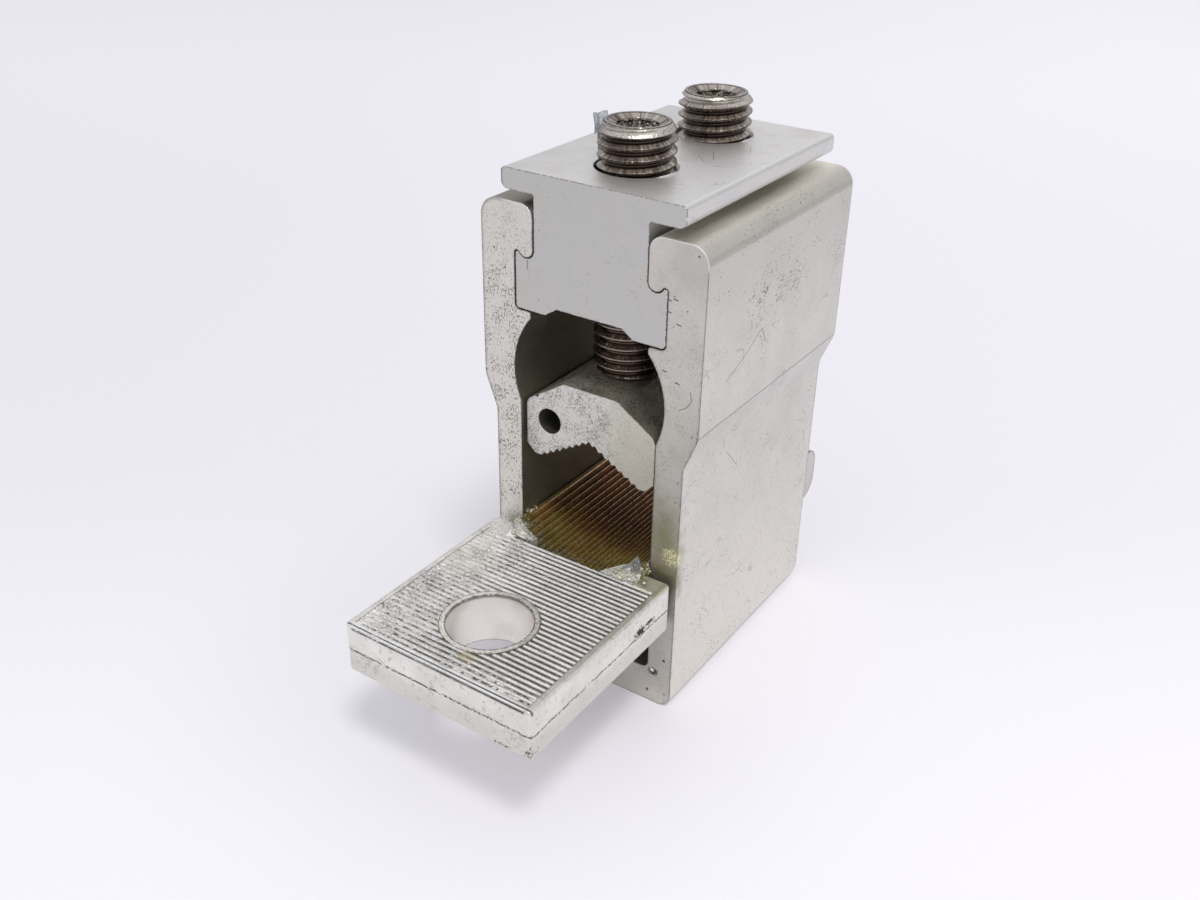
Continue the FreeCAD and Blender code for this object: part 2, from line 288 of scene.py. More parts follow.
def cage_metal():
    """Aluminium extrusion, sawn and tin plated: a pale warm grey with a soft sheen, pitted dark
    on the sawn ends, smoother and faintly streaked and scratched on the long sides, with painted
    light and shade on its sides, rounded top, crease and channel."""
    f = Finish("tin_plated_extrusion")
    x, _, z = f.add("SeparateXYZ", f.place).node.outputs
    _, ny, nz = f.add("SeparateXYZ", f.facing).node.outputs
    across = f.add("Math", x, operation="ABSOLUTE")
    sawn = f.add("MapRange", f.add("Math", ny, operation="ABSOLUTE"), 0.8, 0.95)
    skin = f.add("Math", 1.0, sawn, operation="SUBTRACT")
    channel_shade_and_grease = f.both(skin, f.add("MapRange", across, 16.4 * MM, 15.4 * MM),
                    f.add("MapRange", z, 81.5 * MM, 80.5 * MM),
                    f.add("MapRange", z, 13 * MM, 17 * MM, 0.85, 1.0),
                    f.add("MapRange", z, 0.5 * MM, 1.5 * MM))

    cloud = f.add("TexNoise", f.place, Scale=per_mm(9.0), Detail=5.0, Roughness=0.62)
    speck = f.add("TexNoise", f.place, Scale=per_mm(0.5), Detail=3.0, Roughness=0.7)
    grain = f.add("TexNoise", f.place, Scale=per_mm(0.16), Detail=2.0)
    drawn = f.add("TexNoise", f.add("Mapping", f.place, None, None, (1, 0.02, 1)),
                  Scale=per_mm(0.45), Detail=3.0)
    low = f.add("MapRange", z, 45.0 * MM, 2.0 * MM)

    end_colour = f.add("MixRGB", f.add("MapRange", cloud, 0.35, 0.65), "#c4c1b9", "#d3d0c8")
    end_colour = f.add("MixRGB", f.both(f.add("MapRange", x, 6.0 * MM, -12.0 * MM), 0.85),
                       end_colour, "#e0ddd5")
    f.colour = f.add("MixRGB", f.add("MapRange", cloud, 0.3, 0.7), "#d2cfc9", "#dedbd5")
    # Painted light and shade on the long sides: lighter low down, darker high up
    f.paint("#e8e5dc", low, 0.8)
    f.paint("#c6c3bc", f.add("MapRange", z, 64.0 * MM, 78.0 * MM), 0.5)
    # Painted shade and light on the rounded top: darker over it, lighter near the flange, a painted
    # dark band of reflection where it turns into the side, and darker over the left hook
    crown_light_and_shade = f.both(f.add("MapRange", nz, 0.4, 0.9), f.add("MapRange", z, 79.0 * MM, 80.0 * MM))
    f.paint("#c6c2b6", crown_light_and_shade, 0.6)
    f.paint("#f4f0e4", crown_light_and_shade, f.add("MapRange", x, 10.0 * MM, 12.0 * MM),
            f.add("MapRange", x, 19.0 * MM, 16.0 * MM))
    turn = f.both(f.add("MapRange", nz, 0.02, 0.15), f.add("MapRange", nz, 0.5, 0.25),
                  f.add("MapRange", z, 77.0 * MM, 78.0 * MM))
    f.paint("#b1ada1", turn, 0.6)
    f.paint("#8c887c", crown_light_and_shade, f.add("MapRange", x, -9.0 * MM, -12.0 * MM), 0.85)
    f.paint(end_colour, sawn)
    f.paint("#a39e95", f.add("MapRange", speck, 0.52, 0.75), 0.35)
    # Painted shade and grease on the channel's inner walls
    f.paint("#79735f", channel_shade_and_grease, 0.75)

    # Casting pits, thick on the left leg's sawn face and thin on the right one's
    left = f.both(f.add("MapRange", x, 8 * MM, -8 * MM, 0.25, 1.0),
                  f.add("MapRange", z, 80 * MM, 60 * MM, 0.35, 1.0))
    dense = f.both(f.specks(0.2, 0.76, 2.5,
                            where=f.add("Mapping", f.place, None, None, (1.3, 1, 0.7))), sawn,
                   left)
    sparse = f.both(f.pits(0.42, 1.9, 0.4, ragged=0.7), sawn)
    dashes = f.both(f.either(*(f.scratch((a, -24, h), (a + 0.7, -24, h - 0.1), 0.22)
                               for a, h in ((14.6, 73.9), (13.5, 73.6), (13.6, 71.8),
                                            (15.3, 70.2), (13.3, 62.4), (15.6, 61.0)))), sawn)
    skin_pits = f.both(f.specks(0.24, 0.4, 6.0), skin)
    pits = f.either(dense, sparse, dashes, skin_pits)
    f.paint("#423d36", pits, 0.8)

    # Scratches: a bent gouge under the flange, short nicks, and a haze of hairlines
    side_lines = f.either(*(f.scratch(*line) for line in (
        ((20, -16.4, 59.4), (20, -9.6, 62.2), 0.14), ((20, -9.6, 62.2), (20, -5.7, 64.4), 0.16),
        ((20, -5.7, 64.4), (20, -4.2, 61.8), 0.14), ((20, -9.5, 67.0), (20, -9.2, 65.5), 0.16),
        ((17.75, -9.8, 43.6), (17.75, -5.8, 39.3), 0.12),
        ((18.2, -24, 60.2), (18.5, -24, 58.7), 0.12), ((18.5, -24, 58.7), (17.6, -24, 57.4), 0.12),
        ((17.6, -24, 57.4), (16.4, -24, 56.7), 0.1))))
    nicks = f.both(f.specks(0.18, 0.7, 3.0,
                            where=f.add("Mapping", f.place, None, (math.radians(30), 0, 0),
                                        (1, 0.4, 1))),
                   f.blot((20, -1.0, 70.0), (3.0, 12.0, 7.0), ragged=0.4, grain=3.0), skin)
    haze = f.both(f.hairlines(6.0, 0.005,
                              f.add("Mapping", f.place, None, (math.radians(35), 0, 0),
                                    (1, 0.5, 1))), skin)
    marks = f.either(side_lines, f.both(nicks, 0.9), f.both(haze, 0.3))
    f.paint("#5f5a52", marks, 0.8)

    # Painted shade along the crease where the side turns into the taper, with a slight groove
    crease_shade = f.both(f.add("MapRange", across, 17.0 * MM, 18.0 * MM), skin,
                    f.add("MapRange", f.off(z, CREASE_Z * MM), 0.22 * MM, 0.05 * MM))
    crease_shade = f.both(crease_shade, f.add("MapRange", speck, 0.25, 0.5))
    f.paint("#938e85", crease_shade, 0.8)

    # Dirt along the sawn edges, and a painted highlight along the edges of the top
    edge = f.edges(0.35)
    f.paint("#4b463f", edge, f.add("MapRange", speck, 0.3, 0.46), 0.85)
    f.paint("#ffffff", edge, f.add("MapRange", z, 78.5 * MM, 80.0 * MM),
            f.add("MapRange", across, 10.0 * MM, 11.0 * MM))
    wide = f.edges(0.9)
    fringe = f.both(wide, f.specks(0.2, 0.95, 2.0, shift=0.03),
                    f.add("MapRange", x, 8.0 * MM, 12.0 * MM),
                    f.add("MapRange", z, 75.0 * MM, 60.0 * MM))
    outline = f.both(wide, sawn, f.add("MapRange", x, -15.0 * MM, -17.0 * MM),
                     f.add("MapRange", speck, 0.34, 0.46))
    f.paint("#3b362f", f.either(fringe, outline), 0.75)
    nick = f.either(f.blot((14.3, -24, 6.5), (1.0, 0.5, 0.8), grain=0.3),
                    f.blot((16.3, -24, 9.6), (0.3, 0.5, 0.3), grain=0.3),
                    f.blot((13.3, -24, 2.2), (0.3, 0.5, 0.3), grain=0.3))
    f.paint("#3f3a33", nick, 0.9)
    f.paint("#fdfbf4", f.blot((14.1, -24, 6.75), (0.5, 0.5, 0.35), grain=0.3))

    # Greenish grease wiped on the right leg by the trough, with painted shade at its foot and
    # painted glints on its crumbs
    foot = f.blot((15.8, -24, 27.0), (5.5, 3.0, 6.0), ragged=0.3, grain=3.0, full=0.1)
    f.paint("#8d866d", foot, 0.75)
    film = f.both(f.blot((15.6, -24, 33.0), (5.0, 3.0, 9.0), ragged=0.3, grain=2.5, full=0.1),
                  f.add("MapRange", x, 12.0 * MM, 13.0 * MM))
    f.paint("#a5a17b", film, 0.8)
    smear = f.both(f.blot((16.6, -24, 30.4), (2.3, 2.0, 2.3), ragged=0.3, full=0.3),
                   f.add("MapRange", x, 12.0 * MM, 13.0 * MM))
    f.paint("#5a543a", smear, f.specks(0.2, 1.0, 1.5, shift=0.02), 0.8)
    # Grease crumbs painted pale, as painted glints
    grease = f.both(smear, f.specks(0.16, 1.35, 1.5))
    f.paint("#fdf9cc", grease)

    rough = f.add("MapRange", cloud, 0.3, 0.7, 0.4, 0.5)
    f.wear(Base_Color=f.colour, Metallic=0.9, Roughness=rough)
    f.relief((grain, 0.006), (drawn, 0.006), (speck, 0.02), (pits, -0.09), (marks, -0.05),
             (crease_shade, -0.05), (nick, -0.3), (grease, 0.15), rounding=0.2)
    return f.material


def tang_metal():
    """Bright tin plate on an aluminium bar: whiter than the cage, with dirt and painted shade in
    the rib valleys, crests rubbed and painted bright as highlights, a shear line round the edge,
    and brown jointing grease in the trough."""
    f = Finish("bright_tin_plate")
    x, y, z = f.add("SeparateXYZ", f.place).node.outputs
    _, _, nz = f.add("SeparateXYZ", f.facing).node.outputs
    across = f.add("Math", x, operation="ABSOLUTE")
    cloud = f.add("TexNoise", f.place, Scale=per_mm(6.0), Detail=4.0, Roughness=0.6)
    speck = f.add("TexNoise", f.place, Scale=per_mm(0.45), Detail=3.0, Roughness=0.7)
    grain = f.add("TexNoise", f.place, Scale=per_mm(0.2), Detail=2.0)
    blotchy = f.add("TexNoise", f.place, Scale=per_mm(1.6), Detail=5.0, Roughness=0.7)

    f.colour = f.add("MixRGB", f.add("MapRange", cloud, 0.3, 0.7), "#dfddd6", "#f0eee8")
    f.paint("#b5afa3", f.add("MapRange", speck, 0.54, 0.75), 0.4)

    off_hole = f.add("VectorMath", f.add("CombineXYZ", x, y, 0.0), (0, HOLE_Y * MM, 0),
                     operation="DISTANCE", out=1)

    # Ribs: dirt and painted shade in the valleys, crests rubbed and painted bright as highlights,
    # and a worn strip at the back left
    palm = f.both(f.add("MapRange", y, -24.8 * MM, -25.6 * MM),
                  f.add("MapRange", z, 25.6 * MM, 25.9 * MM))
    bare = f.either(f.blot((-16.5, -31.5, 26.4), (4.6, 13.0, 3.0), ragged=0.25, grain=1.5),
                    f.blot((-12.5, -38.0, 26.4), (4.2, 6.5, 3.0), ragged=0.25, grain=1.5))
    kept = f.add("MapRange", bare, 0.0, 1.0, 1.0, 0.5)
    ribbed = f.both(palm, f.add("MapRange", across, 16.4 * MM, 16.2 * MM))
    # Crests painted bright: rubbed metal, and painted highlights
    f.paint("#ffffff", ribbed, f.add("MapRange", z, 26.22 * MM, 26.36 * MM), kept, 0.9)
    level = f.add("MapRange", x, -9 * MM, 5 * MM, 26.13 * MM, 26.26 * MM)
    valley_shade_and_dirt = f.both(ribbed, f.add("MapRange", z, level, 26.08 * MM), kept)
    last_groove = f.both(palm,
                         f.add("MapRange", f.off(y, LAST_GROOVE_Y * MM), 0.2 * MM, 0.08 * MM))
    valley_shade_and_dirt = f.either(valley_shade_and_dirt, last_groove)
    f.paint("#2f2922", valley_shade_and_dirt, 0.92)
    f.paint("#f1eee6", palm, bare, f.add("MapRange", z, 26.1 * MM, 26.3 * MM), 0.9)
    f.paint("#b9b2a2", palm, f.add("MapRange", blotchy, 0.52, 0.64), 0.35)
    grainy = f.add("MapRange", x, 6 * MM, -8 * MM, 0.3, 1.0)
    crumbly = f.both(palm, f.specks(0.14, 0.75, 4.0), grainy)
    f.paint("#5d574c", crumbly, 0.6)
    f.paint("#ffffff", palm, f.specks(0.16, 0.8, 3.0, shift=0.01), grainy, 0.85)
    ring = f.both(palm, f.add("MapRange", off_hole, 7.8 * MM, 7.7 * MM),
                  f.add("MapRange", off_hole, 6.8 * MM, 6.9 * MM))
    f.paint("#f3eee4", ring, 0.8)
    f.paint("#8a8478", ring, f.add("MapRange", speck, 0.52, 0.62), 0.6)
    lip = f.both(f.add("MapRange", z, 26.0 * MM, 26.1 * MM),
                 f.add("MapRange", off_hole, 6.96 * MM, 6.88 * MM))
    lip = f.either(lip, f.both(palm, f.add("MapRange", off_hole, 7.82 * MM, 7.76 * MM),
                               f.add("MapRange", off_hole, 7.64 * MM, 7.7 * MM)))
    f.paint("#5a544b", lip, f.add("MapRange", speck, 0.36, 0.5), 0.7)
    yellow = f.both(palm, f.either(f.blot((2.2, -57.5, 26.4), (1.7, 1.1, 1.0)),
                                   f.both(f.blot((15.5, -26.8, 26.4), (3.5, 2.6, 1.0)), 0.6)))
    f.paint("#c3b88f", yellow, 0.6)

    # The dark shear line round the palm's edge
    waver = f.add("TexNoise", f.add("Mapping", f.place, None, None, (0.5, 0.5, 0.0)),
                  Scale=per_mm(0.9), Detail=5.0, Roughness=0.8)
    waver = f.add("MapRange", waver, 0.3, 0.7, -0.2 * MM, 0.2 * MM, interpolation_type="LINEAR")
    level = f.off(f.add("Math", z, SHEAR_Z * MM, operation="SUBTRACT"), waver)
    upright = f.both(f.add("MapRange", f.add("Math", nz, operation="ABSOLUTE"), 0.5, 0.3),
                     f.add("MapRange", off_hole, 8.0 * MM, 9.0 * MM))
    shear = f.both(f.add("MapRange", level, 0.24 * MM, 0.1 * MM), upright,
                   f.add("MapRange", y, -24.8 * MM, -25.4 * MM),
                   f.add("MapRange", speck, 0.42, 0.5), f.add("MapRange", blotchy, 0.38, 0.46))
    chipped = f.both(f.either(f.blot((17.3, -62.0, 18.6), (1.3, 1.6, 1.3)),
                              f.blot((12.0, -62.2, 18.0), (1.6, 1.0, 0.5))),
                     f.specks(0.2, 1.0, 2.0, shift=0.05))
    blotch = f.either(f.blot((17.5, -34.1, 22.7), (1.2, 1.5, 0.8), 0.8, 0.3, 0.9),
                      f.blot((17.5, -31.4, 22.9), (1.0, 1.2, 0.4), 0.8, 0.3, 0.9), chipped)
    f.paint("#cfccc3", upright, f.add("MapRange", z, 22.5 * MM, 20.0 * MM), 0.6)
    f.paint("#38332c", shear, 0.9)
    f.paint("#221d17", blotch)
    spots = f.both(f.specks(0.5, 0.6, 4.0), upright)
    f.paint("#c0baa9", spots, 0.6)
    bore = f.both(f.add("MapRange", off_hole, 7.1 * MM, 6.9 * MM),
                  f.add("MapRange", z, 26.2 * MM, 25.8 * MM))
    f.paint("#f6f2ec", bore, 0.7)
    f.paint("#d3cbc6", bore, f.add("MapRange", cloud, 0.4, 0.7), 0.5)
    brim = f.either(f.edges(0.38), f.both(f.add("MapRange", x, -17.15 * MM, -17.35 * MM), palm))
    f.paint("#48423a", brim, f.add("MapRange", speck, 0.32, 0.46), 0.8)
    tail = f.add("MapRange", y, 24.2 * MM, 24.6 * MM)
    f.paint("#bebeb9", tail, 0.6)
    f.paint("#4d4a44", tail, f.edges(0.6), 0.8)

    # Jointing grease in the trough: grey-green at the front, then olive, then deep brown, with
    # the ridge crests rubbed bright and painted as thin highlights
    trough = f.either(f.both(f.add("MapRange", y, -28.9 * MM, -28.3 * MM),
                             f.add("MapRange", across, 13.0 * MM, 12.6 * MM),
                             f.add("MapRange", z, 26.39 * MM, 26.2 * MM)),
                      f.both(f.add("MapRange", y, -24.8 * MM, -24.2 * MM),
                             f.add("MapRange", across, 13.2 * MM, 12.9 * MM),
                             f.add("MapRange", z, 22.5 * MM, 23.0 * MM)))
    travel = f.add("Math", y, f.add("MapRange", blotchy, 0.3, 0.7, -4 * MM, 4 * MM),
                   operation="ADD")
    plate = f.colour
    f.colour = f.add("MixRGB", f.add("MapRange", travel, -27.5 * MM, -23.5 * MM), "#84836c",
                     "#86701f")
    f.paint("#5c2d07", f.add("MapRange", travel, -21.0 * MM, -9.0 * MM))
    f.paint("#8c4708", f.add("MapRange", cloud, 0.46, 0.6),
            f.add("MapRange", y, -27.0 * MM, -22.0 * MM), 0.5)
    ridge = f.add("Math", x, TROUGH_PITCH * MM, operation="DIVIDE")
    ridge = f.off(f.add("Math", ridge, operation="FRACT"), 0.5)
    groove = f.add("MapRange", ridge, 0.3, 0.45)
    f.paint("#1d1308", groove, 0.5)
    f.paint("#cfc28a", f.specks(0.25, 0.75, 2.5), f.add("MapRange", y, -14.0 * MM, -26.0 * MM),
            0.7)
    f.paint("#1b1810", f.specks(0.22, 1.0, 2.0, shift=0.02),
            f.add("MapRange", y, -19.0 * MM, -27.0 * MM), 0.8)
    # Ridge crests rubbed bright, and painted as highlights
    crest = f.both(f.add("MapRange", ridge, 0.1, 0.03), f.add("MapRange", speck, 0.36, 0.48))
    f.paint("#ffe3ae", crest)
    f.paint("#78765f", f.add("MapRange", across, 12.2 * MM, 12.5 * MM), 0.7)
    f.colour = f.add("MixRGB", f.both(trough, 0.97), plate, f.colour)

    rough = f.add("MapRange", cloud, 0.3, 0.7, 0.32, 0.42)
    rough = f.add("MixRGB", f.both(trough, 0.9), rough, (0.3, 0.3, 0.3, 1))
    dull = f.both(trough, f.add("Math", 1.0, crest, operation="SUBTRACT"))
    dull = f.either(dull, f.both(palm, bare, 0.8))
    metal = f.add("MapRange", dull, 0.0, 1.0, 0.92, 0.45)
    f.wear(Base_Color=f.colour, Metallic=metal, Roughness=rough, Specular_IOR_Level=0.2)
    f.relief((grain, 0.006), (speck, 0.03), (f.both(palm, blotchy), 0.06), (crumbly, -0.05),
             (f.both(palm, bare, speck), 0.12), (shear, -0.12), (blotch, -0.15),
             (spots, -0.04), rounding=0.2)
    return f.material


def block_metal():
    """Matt mill-finish aluminium: neutral grey, even and smooth, with faint stains and a few
    scratches between the screws, its top faces painted lighter as light from above, painted
    highlights among the dirt on its edges, and painted shade in the gaps round the screws."""
    f = Finish("matt_mill_aluminium")
    x, y, _ = f.add("SeparateXYZ", f.place).node.outputs
    _, ny, nz = f.add("SeparateXYZ", f.facing).node.outputs
    sawn = f.add("MapRange", f.add("Math", ny, operation="ABSOLUTE"), 0.8, 0.95)
    cloud = f.add("TexNoise", f.place, Scale=per_mm(5.0), Detail=5.0, Roughness=0.6)
    speck = f.add("TexNoise", f.place, Scale=per_mm(0.35), Detail=3.0, Roughness=0.7)
    grain = f.add("TexNoise", f.place, Scale=per_mm(0.12), Detail=2.0)
    drawn = f.add("TexNoise", f.add("Mapping", f.place, None, None, (1, 0.02, 1)),
                  Scale=per_mm(0.5), Detail=3.0)
    f.colour = f.add("MixRGB", f.add("MapRange", cloud, 0.3, 0.7), "#d7d7d5", "#e3e3e1")
    # Top faces painted lighter, as painted light from above
    f.paint("#f3f2f0", f.add("MapRange", nz, 0.8, 0.95), 0.7)
    f.paint("#d9d9d8", f.add("MapRange", x, 2.0 * MM, -16.0 * MM), 0.6)
    f.paint("#c2c2be", sawn, 0.9)
    warm = f.add("TexNoise", f.place, Scale=per_mm(5.0), Detail=3.0, Roughness=0.6)
    f.paint("#c9bcb2", f.add("MapRange", warm, 0.42, 0.72), 0.3)
    f.paint("#a5a3a0", f.add("MapRange", speck, 0.58, 0.75), 0.3)
    pits = f.pits(0.25, 1.8, 0.25, ragged=0.6)
    gouge = f.scratch((-11.3, -24, 73.7), (-11.3, -24, 72.4), 0.3)
    marks = f.both(f.hairlines(3.0, 0.008,
                               f.add("Mapping", f.place, None, (0, 0, math.radians(30)),
                                     (1, 0.5, 1))), 0.5)
    lines = f.either(*(f.scratch((*start, BLOCK_TOP), (*end, BLOCK_TOP), width)
                       for start, end, width in (((5.6, 1.7), (7.6, -1.9), 0.13),
                                                 ((8.7, 8.2), (10.6, 4.2), 0.1),
                                                 ((9.3, -4.8), (10.5, -4.2), 0.16),
                                                 ((4.4, -1.0), (6.9, -3.6), 0.1))))
    f.paint("#6f6c68", f.either(pits, gouge, lines, f.both(marks, 0.5)), 0.7)
    # Dirt and painted highlights along the edges
    edge = f.edges(0.3)
    f.paint("#3a3632", edge, f.add("MapRange", speck, 0.42, 0.5), 0.9)
    f.paint("#ffffff", edge, f.add("MapRange", speck, 0.42, 0.36), 0.9)
    f.paint("#45413c", f.edges(0.8), f.add("MapRange", x, -15.5 * MM, -15.8 * MM), 0.8)
    # Painted shade in the gap round each screw, on its left side
    off_screw = f.add("CombineXYZ", x, f.add("Math", y, operation="ABSOLUTE"), 0.0)
    off_screw = f.add("VectorMath", off_screw, (0, SCREW_Y * MM, 0), operation="DISTANCE", out=1)
    f.paint("#191614", f.add("MapRange", off_screw, 6.5 * MM, 6.35 * MM),
            f.add("MapRange", x, 4.6 * MM, 3.0 * MM), 0.95)
    f.wear(Base_Color=f.colour, Metallic=0.9, Roughness=0.43)
    f.relief((grain, 0.005), (drawn, 0.006), (speck, 0.01), (pits, -0.05), (gouge, -0.15),
             (marks, -0.02), rounding=0.15)
    return f.material


def jaw_metal():
    """Frosted tin plate on aluminium: bluish white and pitted on the left, rubbed smoother and
    greener on the right, stained and speckled with dirt on top and painted darker there towards
    the right as shade, with dirt and painted highlights on its edges."""
    f = Finish("frosted_tin_plate")
    x, _, z = f.add("SeparateXYZ", f.place).node.outputs
    _, ny, nz = f.add("SeparateXYZ", f.facing).node.outputs
    sawn = f.add("MapRange", f.add("Math", ny, operation="ABSOLUTE"), 0.8, 0.95)
    cloud = f.add("TexNoise", f.place, Scale=per_mm(4.0), Detail=4.0, Roughness=0.6)
    speck = f.add("TexNoise", f.place, Scale=per_mm(0.35), Detail=3.0, Roughness=0.7)
    grain = f.add("TexNoise", f.place, Scale=per_mm(0.18), Detail=2.0)
    right = f.add("MapRange", x, 1.0 * MM, 7.0 * MM)
    rough_part = f.add("Math", 1.0, f.both(right, 0.8), operation="SUBTRACT")
    f.colour = f.add("MixRGB", right, "#deddd7", "#d6d3c5")
    f.paint("#b4b5b1", f.add("MapRange", speck, 0.46, 0.7), 0.5)
    top = f.both(f.add("MapRange", nz, 0.2, 0.5), f.add("Math", 1.0, sawn, operation="SUBTRACT"))
    # Dirt on the top, painted darker towards the right as shade
    grime_and_right_shade = f.add("MixRGB", f.add("MapRange", cloud, 0.4, 0.6), "#e6e0d2", "#bcb6a7")
    grime_and_right_shade = f.add("MixRGB", f.both(f.add("MapRange", x, -1.0 * MM, 7.0 * MM), 0.5), grime_and_right_shade,
                  "#847e70")
    grime_and_right_shade = f.add("MixRGB", f.both(f.specks(0.3, 0.9, 3.0), 0.6), grime_and_right_shade, "#4a463d")
    f.paint(grime_and_right_shade, top, 0.9)
    pits = f.both(f.specks(0.15, 0.76, 3.0), sawn, rough_part)
    f.paint("#55544f", pits, 0.7)
    f.paint("#cfcab0", f.specks(0.9, 0.6, 3.0), sawn, 0.35)
    # Dirt and painted highlights along the edges
    rim = f.edges(0.28)
    f.paint("#3d3932", rim, f.add("MapRange", speck, 0.38, 0.48), 0.9)
    f.paint("#f4f2ea", rim, f.add("MapRange", speck, 0.42, 0.34))
    off_hole = f.add("VectorMath", f.add("CombineXYZ", x, 0.0, z), (-7.7 * MM, 0, 47 * MM),
                     operation="DISTANCE", out=1)
    f.paint("#5c5852", f.add("MapRange", off_hole, 2.3 * MM, 2.15 * MM), 0.75)
    f.paint("#37332d", f.blot((-10.2, -23.2, 51.2), (0.5, 1.0, 0.5), grain=0.3), 0.9)
    f.wear(Base_Color=f.colour, Metallic=0.88, Roughness=0.48)
    f.relief((grain, 0.006), (speck, 0.02), (pits, -0.06), rounding=0.2)
    return f.material


def screw_steel(name, centre_y):
    """Rolled stainless steel thread: brownish grey flanks with fine dark lines and painted glints
    down them, painted shade in the roots and below the block, a thin crest painted dark as shade
    above the block and bright as highlights below it, a top chamfer painted bright as a highlight,
    dirt and painted streaks of reflection in the mouth cone, and dirt packed in the socket."""
    f = Finish(name)
    spot = f.add("VectorMath", f.place, (0, centre_y * MM, 0), operation="SUBTRACT")
    x, y, z = f.add("SeparateXYZ", spot).node.outputs
    radius = f.add("VectorMath", f.add("CombineXYZ", x, y, 0.0), operation="LENGTH", out=1)
    cloud = f.add("TexNoise", f.place, Scale=per_mm(3.0), Detail=4.0, Roughness=0.6)
    speck = f.add("TexNoise", f.place, Scale=per_mm(0.3), Detail=3.0, Roughness=0.7)
    spoke = f.add("VectorMath", f.add("CombineXYZ", x, y, 0.0), operation="NORMALIZE")
    climb = f.add("CombineXYZ", 0.0, 0.0, f.add("Math", z, 60.0, operation="MULTIPLY"))
    lines = f.add("TexNoise", f.add("VectorMath", spoke, climb, operation="ADD"),
                  Scale=THREAD_CREST / 0.4, Detail=4.0, Roughness=0.65)
    outside = f.add("MapRange", radius, 4.8 * MM, 4.9 * MM)
    below = f.add("MapRange", z, 93.3 * MM, 92.9 * MM)
    f.colour = f.add("MixRGB", f.add("MapRange", cloud, 0.35, 0.65), "#988f87", "#b3aba3")
    under = f.add("MapRange", z, 66.0 * MM, 65.0 * MM)
    flank = f.add("MapRange", radius, 5.1 * MM, 5.3 * MM)
    # Painted shade in the thread roots, and over the thread below the block
    f.paint("#33241b", f.add("MapRange", radius, 5.3 * MM, 5.06 * MM), outside, below, 0.9)
    f.paint("#63554c", under, outside, 0.75)
    # Dark lines down the flanks, with painted glints between them
    f.paint("#5a4d43", f.add("MapRange", lines, 0.5, 0.64), flank, 0.75)
    f.paint("#f1e9df", f.add("MapRange", lines, 0.44, 0.34), flank, 0.7)
    # The crest painted dark as shade above the block and bright as highlights below it
    crest = f.both(f.add("MapRange", radius, 5.94 * MM, 5.985 * MM), below)
    crest_shade_and_highlight = f.add("MixRGB", under, "#3d352e", "#a8998f")
    f.paint(crest_shade_and_highlight, crest, f.add("MapRange", speck, 0.3, 0.45))
    # The top chamfer painted bright as a highlight
    band = f.both(f.add("MapRange", z, 93.0 * MM, 93.3 * MM),
                  f.add("MapRange", radius, 4.4 * MM, 4.6 * MM))
    f.paint("#c4beb6", band, f.add("MapRange", speck, 0.35, 0.5))
    chipped = f.both(band, f.specks(0.3, 0.4, 2.5))
    f.paint("#4a413a", chipped, 0.8)
    # Dirt and painted streaks of reflection in the mouth cone
    cone = f.both(f.add("MapRange", radius, 4.75 * MM, 4.55 * MM),
                  f.add("MapRange", z, 93.4 * MM, 93.6 * MM))
    sweep = f.add("TexNoise", spoke, Scale=2.4, Detail=3.0, Roughness=0.6)
    f.paint("#4e3d30", cone, f.add("MapRange", sweep, 0.5, 0.62), 0.85)
    f.paint("#fbf4ea", cone, f.add("MapRange", sweep, 0.46, 0.36), 0.8)
    brink = f.both(f.add("MapRange", z, 94.2 * MM, 94.34 * MM),
                   f.add("MapRange", radius, 4.3 * MM, 4.4 * MM))
    brink = f.both(brink,
                   f.either(f.add("MapRange", radius, 4.65 * MM, 4.5 * MM),
                            f.add("MapRange", radius, 4.8 * MM, 4.95 * MM)))
    f.paint("#33271f", brink, f.add("MapRange", speck, 0.36, 0.46))
    bore = f.both(f.add("MapRange", radius, 3.4 * MM, 3.2 * MM),
                  f.add("MapRange", z, 94.0 * MM, 93.8 * MM))
    dirt = f.add("MixRGB", f.add("MapRange", speck, 0.5, 0.6), "#4a423a", "#b5ab9c")
    f.paint(dirt, bore)
    f.wear(Base_Color=f.colour, Metallic=0.95,
           Roughness=f.add("MapRange", cloud, 0.3, 0.7, 0.2, 0.3))
    f.relief((f.both(lines, flank), 0.08), (speck, 0.02), (f.both(bore, speck), 0.3),
             (f.both(cone, sweep), 0.35), (chipped, -0.1), rounding=0.05)
    return f.material


nodes["cage"].data.materials[0] = cage_metal()
nodes["tang"].data.materials[0] = tang_metal()
nodes["screw_block"].data.materials[0] = block_metal()
nodes["jaw"].data.materials[0] = jaw_metal()


# Meshes

def grid_faces(rows, columns, joined=False):
    """Four-sided faces between the points of a grid, row after row; joined closes each row."""
    row = np.arange(rows - 1)[:, None] * columns
    column = np.arange(columns if joined else columns - 1)[None, :]
    after = (column + 1) % columns
    return np.stack([row + column, row + after, row + columns + after, row + columns + column],
                    -1).reshape(-1, 4)


def sheet_faces(rows, columns):
    """Faces of two grids that share their borders, the second seen from its back."""
    faces = grid_faces(rows, columns)
    return np.concatenate([faces, faces[:, ::-1] + rows * columns])


